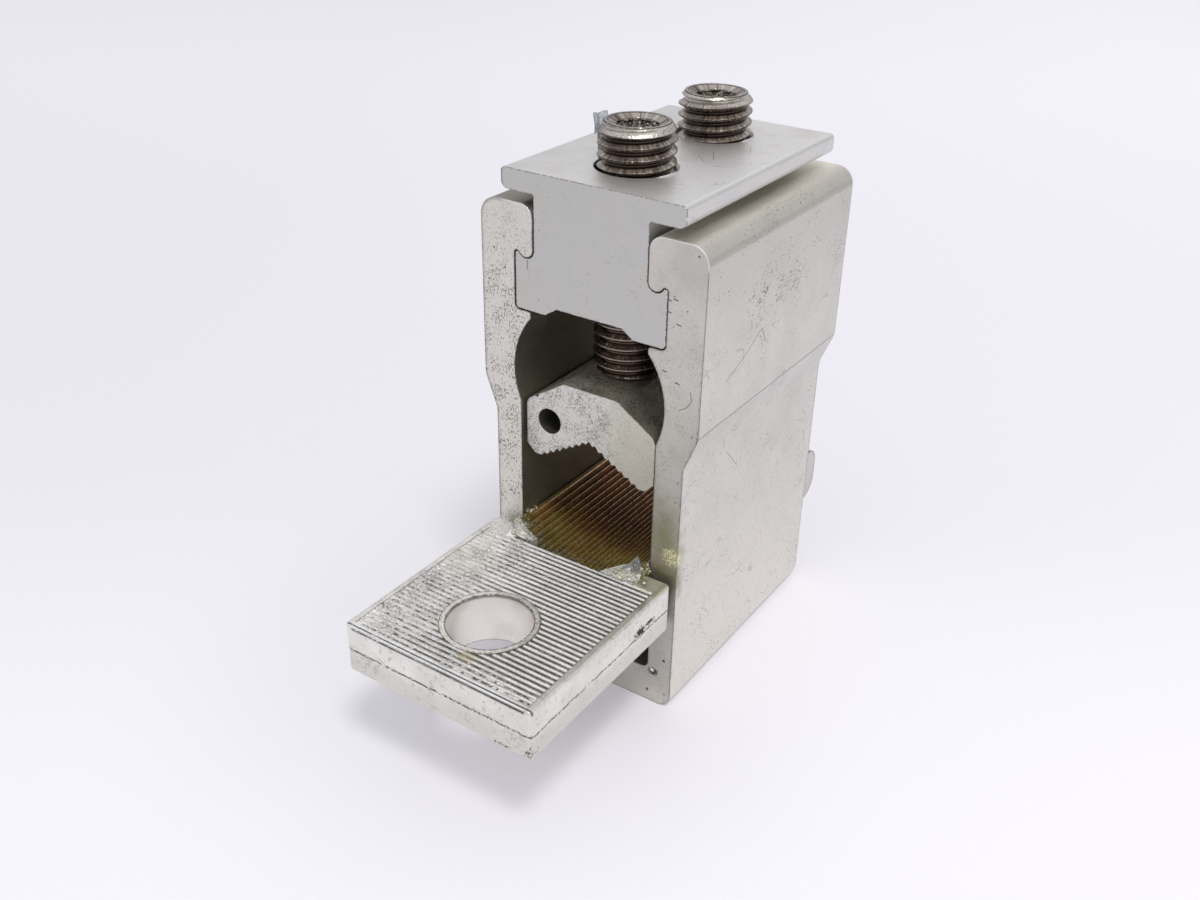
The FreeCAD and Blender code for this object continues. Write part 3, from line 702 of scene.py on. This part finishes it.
def make_piece(name, points, faces, material, body, smooth=35.0):
    """A mesh piece from an array of points in millimetres. Doubled points are merged, which
    closes seams and poles, and its faces are turned outwards."""
    mesh = bpy.data.meshes.new(name)
    mesh.from_pydata((points.reshape(-1, 3) * MM).tolist(), [],
                     faces.reshape(-1, faces.shape[-1]).tolist())
    work = bmesh.new()
    work.from_mesh(mesh)
    bmesh.ops.remove_doubles(work, verts=work.verts, dist=1e-7)
    bmesh.ops.recalc_face_normals(work, faces=work.faces)
    if work.calc_volume(signed=True) < 0:
        bmesh.ops.reverse_faces(work, faces=work.faces)
    work.to_mesh(mesh)
    work.free()
    mesh.shade_smooth()
    mesh.set_sharp_from_angle(angle=math.radians(smooth))
    mesh.materials.append(material)
    piece = bpy.data.objects.new(name, mesh)
    scene.collection.objects.link(piece)
    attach(piece, body)
    return piece


# Set screws

THREAD_STEPS = np.array([0.0, .045, .075, .11, .2, .3, .39, .425, .46])


def thread_radius(turns):
    """Thread radius against turns along the axis: a narrow rounded crest, two straight 60 degree
    flanks and a rounded root."""
    off_crest = np.abs((turns + 0.5) % 1.0 - 0.5)
    return np.interp(off_crest, [0.0, .045, .075, .11, .39, .425, .46, .5],
                     [THREAD_CREST, THREAD_CREST - .01, THREAD_CREST - .07, THREAD_CREST - .19,
                      THREAD_ROOT + .14, THREAD_ROOT + .05, THREAD_ROOT + .01, THREAD_ROOT])


def build_screw(name, node, body, centre_y, turn):
    """Rows follow the helix: row s at angle a stands at height s + pitch a / 2 pi, held between
    the screw's ends, with the thread's radius at that height and angle or the chamfer cone's,
    whichever is less. Plain rings carry on from the last row over the rim, down the mouth cone
    and the hexagon wall to the socket's floor, and at the foot over the dog point."""
    angle = np.arange(SCREW_COLUMNS) * 2 * np.pi / SCREW_COLUMNS
    steps = np.concatenate([THREAD_STEPS, 1.0 - THREAD_STEPS[:0:-1]])
    whole = np.arange(-1, math.ceil((SCREW_TOP - SCREW_FOOT) / THREAD_PITCH) + 1)
    rows = (whole[:, None] + steps[None, :]).ravel() * THREAD_PITCH + SCREW_FOOT

    def skin(height, around):
        radius = thread_radius((height - SCREW_FOOT) / THREAD_PITCH - around / (2 * np.pi) - turn)
        top = RIM_RADIUS + (SCREW_TOP - height) * (THREAD_CREST - RIM_RADIUS) / TOP_CHAMFER
        foot = THREAD_CREST - FOOT_CHAMFER + (height - SCREW_FOOT)
        return np.minimum(radius, np.minimum(top, foot))

    around = angle[None, :]
    height = np.clip(rows[:, None] + THREAD_PITCH * (around / (2 * np.pi) + turn % 1.0 - 1.0),
                     SCREW_FOOT, SCREW_TOP)
    radius = skin(height, around)
    thread = np.stack([radius * np.cos(around), radius * np.sin(around), height], -1)
    count, columns = height.shape
    shift = len(steps)
    index = np.arange(count * columns).reshape(count, columns)
    after = np.concatenate([index[:, 1:], index[np.minimum(np.arange(count) + shift, count - 1),
                                                :1]], 1)
    faces = np.stack([index[:-1], after[:-1], after[1:], index[1:]], -1).reshape(-1, 4)

    wall = SOCKET_FLATS / 2 / np.cos(angle % (np.pi / 3) - np.pi / 6)
    level = np.linspace(0.0, 1.0, 8)
    cone = MOUTH_RADIUS + (SOCKET_FLATS / 2 - MOUTH_RADIUS) * level
    rings = [(skin(SCREW_TOP, angle), SCREW_TOP), (MOUTH_RADIUS + 0.12, SCREW_TOP),
             (MOUTH_RADIUS, SCREW_TOP - 0.05)]
    rings += [(np.maximum(c, wall), SCREW_TOP - MOUTH_DEPTH * t)
              for c, t in zip(cone[1:], level[1:])]
    rings += [(wall, SCREW_TOP - d) for d in (2.0, 4.0, SOCKET_DEPTH)]
    rings += [(wall * 0.5, SCREW_TOP - SOCKET_DEPTH - 0.5), (0.0, SCREW_TOP - SOCKET_DEPTH - 0.9)]
    end = SCREW_FOOT - DOG_LENGTH
    foot = [(skin(SCREW_FOOT, angle), SCREW_FOOT), (DOG_RADIUS, SCREW_FOOT),
            (DOG_RADIUS, end + 0.4), (DOG_RADIUS - 0.4, end), (0.0, end)]
    points, all_faces, used = [thread.reshape(-1, 3)], [faces], count * columns
    for chain in (rings, foot):
        ring_radius = np.array([np.broadcast_to(r, columns) for r, _ in chain])
        ring_height = np.array([[h] * columns for _, h in chain])
        points.append(np.stack([ring_radius * np.cos(angle), ring_radius * np.sin(angle),
                                ring_height], -1).reshape(-1, 3))
        all_faces.append(grid_faces(len(chain), columns, joined=True) + used)
        used += len(chain) * columns
    points = np.concatenate(points) + (0, centre_y, 0)
    piece = make_piece(name, points, np.concatenate(all_faces),
                       screw_steel(name + "_steel", centre_y), body, smooth=50.0)
    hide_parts(node)
    return piece


build_screw("front_screw_thread", "screw_front", "front_screw", -SCREW_Y, 0.35)
build_screw("rear_screw_thread", "screw_rear", "rear_screw", SCREW_Y, 0.1)


# Small loose things: torn and rubbed plating, crumbs, a curled shaving, dirt and burrs

def tang_height(x, y):
    """Height of the tang's top: the palm's plane, and behind the trough's front the arc of the
    trough or the ramp plane at its front, whichever is lower."""
    dip = TROUGH_RADIUS - math.sqrt(TROUGH_RADIUS ** 2 - TONGUE_HALF ** 2)
    arc = TONGUE_TOP - dip + TROUGH_RADIUS - np.sqrt(TROUGH_RADIUS ** 2
                                                     - np.minimum(abs(x), TONGUE_HALF) ** 2)
    ramp = PALM_TOP + RAMP_SLOPE * (y - TROUGH_FRONT)
    return np.where(y < TROUGH_FRONT, PALM_TOP, np.minimum(arc, ramp))


def torn_plating():
    """Torn tin plating: foil creased into facets, whitish at the step and greyer above it, with
    dried grease in its creases."""
    f = Finish("torn_plating")
    x, y, _ = f.add("SeparateXYZ", f.place).node.outputs
    speck = f.add("TexNoise", f.place, Scale=per_mm(0.4), Detail=4.0, Roughness=0.7)
    cloud = f.add("TexNoise", f.place, Scale=per_mm(1.8), Detail=3.0)
    f.colour = f.add("MixRGB", f.add("MapRange", cloud, 0.42, 0.62), "#f2f1e6", "#d3d0b8")
    f.paint("#9aa098", f.add("MapRange", y, -27.2 * MM, -26.2 * MM),
            f.add("MapRange", x, 8.8 * MM, 9.4 * MM), 0.9)
    green = f.add("MapRange", x, -6.0 * MM, -9.0 * MM)
    f.paint("#cfd0bd", green, 0.9)
    f.paint("#5e5a48", f.add("MapRange", speck, 0.52, 0.6), 0.85)
    sparkle = f.specks(0.16, 0.9, 1.5, shift=0.02)
    f.paint("#ffffff", sparkle, 0.9)
    f.wear(Base_Color=f.colour, Metallic=0.35, Roughness=0.3)
    f.relief((speck, 0.1), (sparkle, 0.08))
    return f.material


def dry_grease():
    """Crumbs of dried grease and tin: yellowish white, glinting, dark in the cracks."""
    f = Finish("dry_grease_crumbs")
    speck = f.add("TexNoise", f.place, Scale=per_mm(0.3), Detail=3.0, Roughness=0.7)
    cloud = f.add("TexNoise", f.place, Scale=per_mm(1.0), Detail=2.0)
    f.colour = f.add("MixRGB", f.add("MapRange", cloud, 0.42, 0.52), "#f3efda", "#857c4c")
    f.paint("#4e4630", f.add("MapRange", speck, 0.56, 0.64), 0.7)
    f.wear(Base_Color=f.colour, Metallic=0.5, Roughness=0.3)
    f.relief((speck, 0.05))
    return f.material


def creases(x, y, seed, count, lift, tilt):
    """Facets: every point takes the tilted plane of its nearest seed point."""
    rng = np.random.default_rng(seed)
    low, high = (x.min(), y.min()), (x.max(), y.max())
    seeds = rng.uniform(low, high, (count, 2))
    away = np.stack([x[..., None] - seeds[:, 0], y[..., None] - seeds[:, 1]], -1)
    near = np.argmin((away ** 2).sum(-1), -1)
    off = np.take_along_axis(away, near[..., None, None], 2)[..., 0, :]
    return rng.uniform(-lift, lift, count)[near] + (off * rng.uniform(-tilt, tilt,
                                                                      (count, 2))[near]).sum(-1)


def tear_flake(name, corner, outline, seed, material):
    """A flake of torn plating, a fan: u runs round the outline and v from the corner out to it,
    the points between in proportion, raised by creases, and the grid runs back from the outline
    to the corner as a second sheet in the tang under it."""
    corner, outline = np.array(corner), np.array(outline)
    mark = np.linspace(0, 1, len(outline))
    u, v = np.linspace(0, 1, 40), np.linspace(0, 1, 20)[:, None, None]
    edge = np.stack([np.interp(u, mark, outline[:, k]) for k in range(3)], -1)
    fan = corner + v * (edge - corner)
    x, y, z = np.moveaxis(fan, -1, 0)
    inner = np.sin(np.pi * np.clip(v[..., 0] * 1.2, 0, 1)) ** 0.5
    z = z + inner * creases(x, y, seed, 26, 0.16, 0.35)
    ground = tang_height(x, y)
    upper = np.stack([x, y, np.maximum(z, ground + 0.05)], -1)
    lower = np.stack([x, y, ground - 0.4], -1)
    lower[0], lower[:, 0], lower[:, -1] = upper[0], upper[:, 0], upper[:, -1]
    points = np.concatenate([upper, lower[::-1]])
    make_piece(name, points, grid_faces(*points.shape[:2]), material, "cage",
               smooth=8.0)


def strew_crumbs(name, route, spread, count, size, seed, material):
    """Crumbs strewn along a route: each is an icosahedron whose corners are pushed in or out,
    stretched three ways and sunk a little into the tang under it."""
    ball = bmesh.new()
    bmesh.ops.create_icosphere(ball, subdivisions=1, radius=1.0)
    corners = np.array([v.co for v in ball.verts])
    faces = np.array([[v.index for v in face.verts] for face in ball.faces])
    ball.free()
    rng = np.random.default_rng(seed)
    route = np.array(route)
    along = rng.uniform(0, len(route) - 1, count)
    x, y = (np.interp(along, np.arange(len(route)), route[:, k]) for k in (0, 1))
    x, y = x + rng.normal(0, spread, count), y + rng.normal(0, spread, count)
    across = size * rng.uniform(0.5, 1.3, (count, 1, 3)) * rng.uniform(0.4, 1.0, (count, 1, 1))
    points = corners * (1 + rng.uniform(-0.3, 0.3, (count, 12, 1))) * across
    points += np.stack([x, y, tang_height(x, y) + 0.25 * size], -1)[:, None]
    faces = faces + 12 * np.arange(count)[:, None, None]
    make_piece(name, points, faces, material, "cage", smooth=5.0)


plating, crumbs = torn_plating(), dry_grease()
tear_flake("right_flake", (12.9, -28.9, 26.95),
           ((6.3, -28.8, 26.5), (6.9, -28.0, 26.75), (9.0, -25.9, 27.3), (9.8, -25.5, 27.5),
            (9.1, -21.9, 26.8), (10.6, -23.4, 26.9), (12.7, -26.0, 27.1), (13.2, -28.0, 26.8)),
           5, plating)
tear_flake("left_flake", (-7.6, -28.3, 26.9),
           ((-12.0, -28.5, 26.75), (-12.9, -26.2, 27.7), (-12.9, -25.0, 27.9),
            (-11.7, -25.6, 27.6), (-9.7, -26.6, 27.2), (-7.0, -27.6, 26.9)), 9, plating)
strew_crumbs("left_crumbs", ((-12.7, -20.5), (-12.2, -24.8), (-9.8, -26.5), (-6.2, -28.3),
                             (-1.0, -28.4)), 0.3, 90, 0.3, 2, crumbs)
strew_crumbs("right_crumbs", ((1.5, -28.3), (6.2, -27.6), (9.0, -25.4), (11.6, -22.5),
                              (12.6, -25.2), (13.9, -28.0)), 0.5, 90, 0.28, 6, crumbs)


def random_field(shape, size, seed):
    """Random heights on a grid, smoothed over about a size in cells by damping their fast waves,
    and scaled to a spread of 1."""
    noise = np.random.default_rng(seed).normal(size=shape)
    rows, columns = np.fft.fftfreq(shape[0])[:, None], np.fft.fftfreq(shape[1])[None, :]
    damped = np.fft.fft2(noise) * np.exp(-((rows ** 2 + columns ** 2) * (np.pi * size) ** 2))
    field = np.fft.ifft2(damped).real
    return field / field.std()


def smear_ribs(name, sides, ends, seed, crumbs):
    """Plating rubbed flat over the worn corner of the ribs, and crumbs of it lying in the grooves
    round that: x runs between the sides, kept off the hole's ring, and y between the ends. The
    sheet stands at the crests where the ribs are worn and falls to the grooves' bottom elsewhere,
    raised and lowered by random fields, and a second sheet in the tang under it closes it."""
    y = np.arange(*ends, 0.15)[None, :]
    ring = np.sqrt(np.maximum(RING_RADIUS ** 2 - (y - HOLE_Y) ** 2, 0.0))
    u = np.linspace(0, 1, int((sides[1] - sides[0]) / 0.15))[:, None]
    x = sides[0] + u * (sides[1] - ring - sides[0])
    y = y + 0 * x
    off_worn = x - (-14.1 + 0.415 * (-29.4 - y))
    worn = np.clip(0.5 - off_worn / 0.9, 0, 1) * np.clip((y + 45.5) / 3.5, 0, 1)
    border = np.clip((-15.2 - x) / 0.9, 0, 1)
    fill = np.maximum(np.maximum(worn, border), np.clip(crumbs(x, y), 0.0, 0.7))
    fine = random_field(x.shape, 1.6, seed)
    slow = random_field(x.shape, 9.0, seed + 1)
    rise = fill * (1.0 + 0.12 * slow) - 0.22 * np.abs(fine) + 0.3 * (fill < 0.8) * fine
    z = PALM_TOP - RIB_DEPTH - 0.05 + np.clip(rise, 0, 1) * (RIB_DEPTH + 0.02)
    upper = np.stack([x, y, z], -1)
    lower = upper.copy()
    lower[1:-1, 1:-1, 2] = PALM_TOP - 0.8
    make_piece(name, np.concatenate([upper, lower]), sheet_faces(*x.shape),
               nodes["tang"].data.materials[0], "cage", smooth=60.0)


smear_ribs("worn_ribs", (-16.45, 0.0), (-61.2, -28.9), 14,
           lambda x, y: np.minimum(0.6 - 0.04 * (x + 14.0), 0.6))
smear_ribs("front_rib_crumbs", (0.0, 16.4), (-61.2, -57.1), 15,
           lambda x, y: 0.72 - 0.12 * (y + 61.0))


def curl_shaving():
    """A thin clear shaving peeled up round the front screw: a film that stands on the block behind
    the screw's left, u round the screw and v up the film. Its lower edge falls as a smooth step
    from the part that reaches forward to the broad foot, and its two faces are closed round the
    edges."""
    u = np.linspace(0, 1, 48)[:, None]
    v = np.linspace(0, 1, 14)[None, :]
    angle = np.radians(205.5 - 40.0 * u)
    rise = np.clip((u - 0.28) / 0.22, 0, 1)
    low = 91.9 - (4.6 - 0.5 * (u - 0.75) ** 2) * rise ** 2 * (3 - 2 * rise)
    high = 94.85 - 0.5 * u + 0.12 * np.sin(9.0 * u)
    z = low + (high - low) * v
    radius = 6.32 + 0.28 * np.clip(v, 0.5, 1) ** 4 + 0.06 * np.sin(14.0 * u)
    sheets = []
    for thick in (0.0, 0.07):
        reach = radius + thick
        sheets.append(np.stack([reach * np.cos(angle), reach * np.sin(angle) - SCREW_Y, z], -1))
    points = np.concatenate([sheets[0], sheets[1][:, ::-1]], 1)
    ends = [np.broadcast_to(points[i].mean(0), (1, *points.shape[1:])) for i in (0, -1)]
    points = np.concatenate([ends[0], points, ends[1]])
    f = Finish("clear_shaving")
    cloud = f.add("TexNoise", f.place, Scale=per_mm(0.8), Detail=3.0)
    f.colour = f.add("MixRGB", f.add("MapRange", cloud, 0.4, 0.6), "#ccd5da", "#f1f4f7")
    f.paint("#596062", f.edges(0.2), 0.9)
    f.wear(Base_Color=f.colour, Metallic=0.0, Roughness=0.25, Transmission_Weight=0.6)
    f.relief((cloud, 0.04))
    make_piece("curled_shaving", points, grid_faces(*points.shape[:2], joined=True), f.material,
               "block", smooth=60.0)


curl_shaving()


def pack_dirt(name, body, centre_y, seed, material):
    """Dirt caught in a screw's socket: over rings and angles a rough floor, falling in the middle,
    broken into flat tilted facets round seed points, and closed by a flat underside."""
    rings, columns, reach, depth = 16, 48, 3.35, 1.15
    angle = np.linspace(0, 2 * np.pi, columns, endpoint=False)[None, :]
    radius = np.linspace(0, reach, rings)[:, None]
    wall = SOCKET_FLATS / 2 / np.cos(angle % (np.pi / 3) - np.pi / 6)
    x = np.minimum(radius, wall + 0.05) * np.cos(angle)
    y = np.minimum(radius, wall + 0.05) * np.sin(angle)
    top = SCREW_TOP - depth + creases(x, y, seed, 60, 0.32, 0.8)
    top = np.clip(top, SCREW_TOP - 2.2, SCREW_TOP - 0.55)
    top[0] = top[0].mean()
    upper = np.stack([x, y + centre_y, top], -1)
    lower = np.stack([x, y + centre_y, np.full_like(x, SCREW_TOP - 2.6)], -1)
    make_piece(name, np.concatenate([upper, lower[::-1]]),
               grid_faces(2 * rings, columns, joined=True), material, body,
               smooth=10.0)


def socket_dirt():
    """Filings and dried grease in the sockets: nearly black brown with bright metal glints."""
    f = Finish("socket_dirt")
    speck = f.add("TexNoise", f.place, Scale=per_mm(0.35), Detail=4.0, Roughness=0.75)
    f.colour = f.add("MixRGB", f.add("MapRange", speck, 0.52, 0.6), "#3a332c", "#c9c0b2")
    f.wear(Base_Color=f.colour, Metallic=0.8, Roughness=0.3)
    f.relief((speck, 0.12))
    return f.material


def lift_burr(name, centre_y, middle, material):
    """A burr at the edge of a screw hole: a sliver of a ring, u round it and v across, humped
    as the product of two half sine waves, and closed by its own flat underside."""
    round_it = np.linspace(0, 1, 24)[:, None]
    over = np.linspace(0, 1, 9)[None, :]
    hump = np.sin(np.pi * round_it) * np.sin(np.pi * over)
    angle = np.radians(middle) + (round_it - 0.5) * np.radians(52)
    radius = 6.4 + 0.55 * over * np.sin(np.pi * round_it)
    x, y = radius * np.cos(angle), centre_y + radius * np.sin(angle)
    top = np.stack([x, y, BLOCK_TOP - 0.03 + 0.3 * hump], -1)
    base = np.stack([x, y, BLOCK_TOP - 0.05 - 0.1 * hump], -1)
    base = np.where(hump[..., None] > 1e-9, base, top)
    make_piece(name, np.concatenate([top, base]), sheet_faces(*hump.shape), material, "block")


dirt = socket_dirt()
pack_dirt("front_socket_dirt", "front_screw", -SCREW_Y, 3, dirt)
pack_dirt("rear_socket_dirt", "rear_screw", SCREW_Y, 8, dirt)
lift_burr("front_hole_burr", -SCREW_Y, -8.0, nodes["screw_block"].data.materials[0])
lift_burr("rear_hole_burr", SCREW_Y, 2.0, nodes["screw_block"].data.materials[0])


# Floor, room and lamp

FLOOR_REACH = 3.0
FLOOR_COLOUR = "#e9e8ee"
FLOOR_GLOW_LEFT = 0.165
FLOOR_GLOW_RIGHT = 0.25
FLOOR_GLOW_NEAR = 0.03
FLOOR_GLOW_MIDDLE = -0.04
FLOOR_GLOW_FAR = 0.055
FLOOR_SHADOW_DIP = -0.06
ROOM_COLOUR = "#f8f7fb"
ROOM_FILL = 0.68
ROOM_WALL = 0.62
ROOM_LOW = 0.15
ROOM_HIGH = 0.85
LAMP_PLACE = (0.33, -0.32, 0.93)
LAMP_SIZE = 0.22
LAMP_POWER = 3.3


def seen_directly(tree):
    """1 for what the camera sees, in metal and through film too, and 0 for the light on things."""
    path = add_node(tree, "LightPath").node.outputs
    seen = add_node(tree, "Math", path["Is Camera Ray"], path["Is Glossy Ray"],
                    operation="MAXIMUM")
    return add_node(tree, "Math", seen, path["Is Transmission Ray"], operation="MAXIMUM")


def lay_floor():
    """A plain pale bench top, much wider than the view, lifted a little towards white where it is
    seen, so that it keeps the object's shadow. The lift varies across it as painted light and dips
    round the object as a painted shadow."""
    reach = FLOOR_REACH
    mesh = bpy.data.meshes.new("bench_top")
    mesh.from_pydata([(-reach, -reach, 0), (reach, -reach, 0), (reach, reach, 0),
                      (-reach, reach, 0)], [], [(0, 1, 2, 3)])
    f = Finish("bench_top_paint")
    # The glow varies from left to right and from near to far as painted light
    rightward = f.add("VectorMath", f.place, (0.83, 0.55, 0.0), operation="DOT_PRODUCT", out=1)
    glow = f.add("MapRange", rightward, -0.13, 0.3, FLOOR_GLOW_LEFT, FLOOR_GLOW_RIGHT,
                 interpolation_type="LINEAR")
    away = f.add("VectorMath", f.place, (-0.55, 0.83, 0.0), operation="DOT_PRODUCT", out=1)
    near = f.add("MapRange", away, -0.06, 0.05, FLOOR_GLOW_NEAR, FLOOR_GLOW_MIDDLE)
    far = f.add("MapRange", away, 0.05, 0.5, 0.0, FLOOR_GLOW_FAR - FLOOR_GLOW_MIDDLE)
    glow = f.add("Math", f.add("Math", glow, near, operation="ADD"), far, operation="ADD")
    # A painted shadow: the glow dips round the object
    painted_shadow_dip = f.add("VectorMath", f.place, (-0.01, -0.035, 0.0), operation="DISTANCE", out=1)
    painted_shadow_dip = f.add("MapRange", painted_shadow_dip, 0.02, 0.07, FLOOR_SHADOW_DIP, 0.0)
    glow = f.add("Math", glow, painted_shadow_dip, operation="ADD")
    seen = f.add("Math", seen_directly(f.tree), glow, operation="MULTIPLY")
    f.wear(Base_Color=linear(FLOOR_COLOUR), Roughness=0.7, Specular_IOR_Level=0.2,
           Emission_Color=linear(ROOM_COLOUR), Emission_Strength=seen)
    mesh.materials.append(f.material)
    floor = bpy.data.objects.new("bench_top", mesh)
    scene.collection.objects.link(floor)


def light_room():
    """An even pale room, seen white by the camera and a little darker towards the horizon in the
    metal, and one lamp high at the right front, whose soft shadow falls to the back left."""
    world = bpy.data.worlds.new("pale_room")
    scene.world = world
    world.use_nodes = True
    tree = world.node_tree
    tree.nodes.clear()
    way = add_node(tree, "TexCoord").node.outputs["Generated"]
    rise = add_node(tree, "MapRange", add_node(tree, "SeparateXYZ", way, out=2), ROOM_LOW,
                    ROOM_HIGH, ROOM_WALL, 1.0, interpolation_type="LINEAR")
    camera_ray = add_node(tree, "LightPath").node.outputs["Is Camera Ray"]
    dim = add_node(tree, "Math", rise, camera_ray, operation="MAXIMUM")
    seen = add_node(tree, "Background", ROOM_COLOUR, dim)
    fill = add_node(tree, "Background", ROOM_COLOUR, ROOM_FILL)
    mix = add_node(tree, "MixShader", seen_directly(tree), fill, seen)
    tree.links.new(mix, tree.nodes.new("ShaderNodeOutputWorld").inputs[0])

    lamp = bpy.data.lights.new("softbox", "AREA")
    lamp.size = LAMP_SIZE
    lamp.energy = LAMP_POWER
    lamp.color = (1.0, 0.985, 0.97)
    holder = bpy.data.objects.new("softbox", lamp)
    scene.collection.objects.link(holder)
    holder.location = LAMP_PLACE
    aim = Vector((0, -0.01, 0.03)) - Vector(LAMP_PLACE)
    holder.rotation_euler = aim.to_track_quat("-Z", "Y").to_euler()


lay_floor()
light_room()
